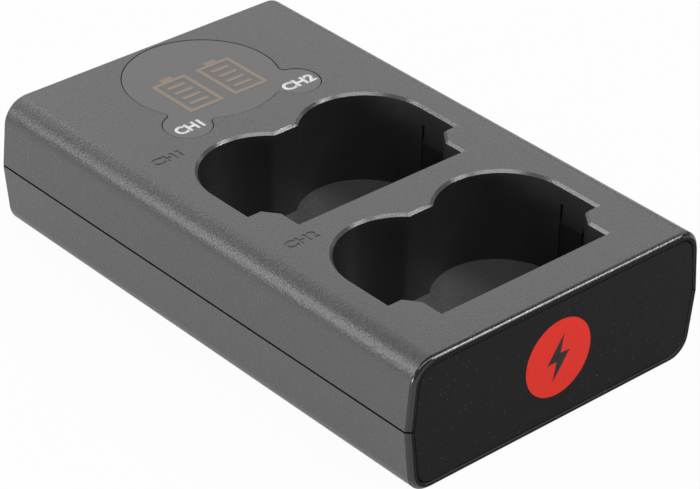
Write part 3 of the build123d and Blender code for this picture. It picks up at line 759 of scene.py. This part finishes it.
class CHARGER_OT_place_disc(bpy.types.Operator):
    """Lay the red disc with its charge bolt on the end plate"""

    bl_idname = "charger.place_disc"
    bl_label = "Place the disc"

    def execute(self, context):
        marks = context.scene.charger_marks
        finishes = context.scene.charger_finishes
        red = finish(
            "red_film",
            finishes.disc,
            spread=0.06,
            roughness=(0.4, 0.5),
            grain=0.3 * MM,
            depth=0.004 * MM,
            specular=0.15,
        )
        clear_selection()
        bpy.ops.mesh.primitive_circle_add(
            vertices=DISC_CORNERS,
            radius=marks.disc_radius,
            fill_type="NGON",
            location=(PLATE_FACE, 0, marks.disc_height),
            rotation=(0, pi / 2, 0),
        )
        disc = bpy.context.object
        bpy.ops.object.transform_apply(location=True, rotation=True, scale=True)
        bpy.ops.object.mode_set(mode="EDIT")
        thicken((marks.ink, 0, 0))
        settle(disc, "disc", red)
        outline = bpy.data.curves.new("bolt", "CURVE")
        outline.dimensions = "2D"
        outline.fill_mode = "BOTH"
        corners = outline.splines.new("POLY")
        corners.points.add(len(BOLT) - 1)
        corners.use_cyclic_u = True
        for corner, (across, up) in zip(corners.points, BOLT):
            corner.co = (across * marks.bolt_height, up * marks.bolt_height, 0, 1)
        bolt = bpy.data.objects.new("bolt", outline)
        context.scene.collection.objects.link(bolt)
        clear_selection()
        bolt.select_set(True)
        context.view_layer.objects.active = bolt
        bpy.ops.object.convert(target="MESH")
        bolt.rotation_euler = (pi / 2, 0, pi / 2)
        bolt.location = (PLATE_FACE + marks.ink, 0, marks.disc_height)
        bpy.ops.object.transform_apply(location=True, rotation=True, scale=True)
        bpy.ops.object.mode_set(mode="EDIT")
        thicken((marks.ink, 0, 0))
        dark = finish(
            "bolt_ink",
            finishes.bolt,
            spread=0.1,
            roughness=(0.4, 0.5),
            grain=0.3 * MM,
            depth=0.004 * MM,
            specular=0.15,
        )
        settle(bolt, "bolt", dark)
        return {"FINISHED"}


Stand = namedtuple("Stand", "towards distance width height")
STANDS = {
    "edge": Stand(towards=(-0.56, -0.65, 0.5), distance=0.9, width=0.32, height=0.52),
    "key": Stand(towards=(0.33, 0.566, 0.75), distance=0.9, width=0.2, height=0.2),
    "rim": Stand(towards=(0.565, 0.49, 0.665), distance=0.5, width=0.16, height=0.16),
    "strip": Stand(towards=(0.45, -0.2, 0.86), distance=0.6, width=0.62, height=0.16),
    "side": Stand(towards=(0.0, -0.995, 0.08), distance=0.9, width=0.3, height=0.12),
    "back": Stand(towards=(-0.68, 0.52, 0.48), distance=0.9, width=0.6, height=0.6),
    "back_left": Stand(towards=(-0.88, 0.05, 0.46), distance=0.9, width=0.5, height=0.5),
    "back_right": Stand(towards=(-0.2, 0.85, 0.5), distance=0.9, width=0.5, height=0.5),
}


def lamp(name, stand, power):
    """Softbox that faces the middle of the charger."""
    middle = Vector((0, 0, ROOF / 2))
    towards = Vector(stand.towards).normalized()
    data = bpy.data.lights.new(name, "AREA")
    data.shape = "RECTANGLE"
    data.size = stand.width
    data.size_y = stand.height
    data.energy = power
    softbox = bpy.data.objects.new(name, data)
    bpy.context.scene.collection.objects.link(softbox)
    softbox.location = middle + towards * stand.distance
    softbox.rotation_euler = towards.to_track_quat("Z", "Y").to_euler()


def floor_paper():
    """Pale paper that keeps the shadow and looks white to the camera, in mirrors and through glass."""
    material = finish(
        "floor_paper",
        (0.6, 0.6, 0.6),
        spread=0.01,
        roughness=(0.8, 0.9),
        grain=40 * MM,
        depth=0.0,
    )
    nodes, links = material.node_tree.nodes, material.node_tree.links
    path = nodes.new("ShaderNodeLightPath")
    glow = nodes.new("ShaderNodeEmission")
    mix = nodes.new("ShaderNodeMixShader")
    total = mix.inputs["Fac"]
    for ray, share in WHITE_SHARES.items():
        part = nodes.new("ShaderNodeMath")
        part.operation = "MULTIPLY_ADD"
        part.inputs[1].default_value = share
        part.inputs[2].default_value = 0.0
        links.new(path.outputs[ray], part.inputs[0])
        links.new(part.outputs["Value"], total)
        total = part.inputs[2]
    links.new(nodes["Principled BSDF"].outputs["BSDF"], mix.inputs[1])
    links.new(glow.outputs["Emission"], mix.inputs[2])
    links.new(mix.outputs["Shader"], nodes["Material Output"].inputs["Surface"])
    return material


def light_world(scene, strength):
    """Even light from all round."""
    world = bpy.data.worlds.new("studio_world")
    world.use_nodes = True
    background = world.node_tree.nodes["Background"]
    background.inputs["Color"].default_value = (1, 1, 1, 1)
    background.inputs["Strength"].default_value = strength
    scene.world = world


class CHARGER_OT_build_studio(bpy.types.Operator):
    """Set the floor, the lamps, the world and the camera"""

    bl_idname = "charger.build_studio"
    bl_label = "Build the studio"

    def execute(self, context):
        studio = context.scene.charger_studio
        clear_selection()
        bpy.ops.mesh.primitive_plane_add(size=FLOOR_SIZE)
        floor = bpy.context.object
        floor.name = "floor"
        floor.data.materials.append(floor_paper())
        for name, stand in STANDS.items():
            lamp(name, stand, getattr(studio, f"{name}_power"))
        light_world(context.scene, studio.ambient)
        camera_data = bpy.data.cameras.new("camera")
        camera_data.lens = studio.camera_lens
        camera_data.sensor_width = SENSOR
        camera_data.sensor_fit = "HORIZONTAL"
        camera_data.clip_start = NEAREST
        camera_data.clip_end = FARTHEST
        camera = bpy.data.objects.new("camera", camera_data)
        context.scene.collection.objects.link(camera)
        camera.matrix_world = (
            Matrix.Translation(studio.camera_place)
            @ Matrix.Rotation(studio.camera_azimuth, 4, "Z")
            @ Matrix.Rotation(pi / 2 - studio.camera_elevation, 4, "X")
            @ Matrix.Rotation(studio.camera_roll, 4, "Z")
        )
        context.scene.camera = camera
        context.scene.view_settings.view_transform = "Standard"
        return {"FINISHED"}


class CHARGER_PT_panel(bpy.types.Panel):
    """Lists the charger's operators and properties"""

    bl_idname = "CHARGER_PT_panel"
    bl_label = "Charger"
    bl_space_type = "VIEW_3D"
    bl_region_type = "UI"
    bl_category = "Charger"

    def draw(self, context):
        for step in STEPS:
            self.layout.operator(step.bl_idname)
        for group in (
            context.scene.charger_finishes,
            context.scene.charger_marks,
            context.scene.charger_studio,
        ):
            box = self.layout.box()
            for name in group.__annotations__:
                box.prop(group, name)


GROUPS = {
    "charger_finishes": ChargerFinishes,
    "charger_marks": ChargerMarks,
    "charger_studio": ChargerStudio,
}
STEPS = (
    CHARGER_OT_finish_nodes,
    CHARGER_OT_engrave_housing,
    CHARGER_OT_print_icons,
    CHARGER_OT_print_marks,
    CHARGER_OT_place_disc,
    CHARGER_OT_build_studio,
)


def register():
    for made in (*GROUPS.values(), *STEPS, CHARGER_PT_panel):
        bpy.utils.register_class(made)
    for name, group in GROUPS.items():
        setattr(bpy.types.Scene, name, PointerProperty(type=group))


def unregister():
    for name in GROUPS:
        delattr(bpy.types.Scene, name)
    for made in (CHARGER_PT_panel, *reversed(STEPS), *reversed(GROUPS.values())):
        bpy.utils.unregister_class(made)


def main():
    register()
    bpy.ops.charger.finish_nodes()
    bpy.ops.charger.engrave_housing()
    bpy.ops.charger.print_icons()
    bpy.ops.charger.print_marks()
    bpy.ops.charger.place_disc()
    bpy.ops.charger.build_studio()


if __name__ == "__main__":
    main()
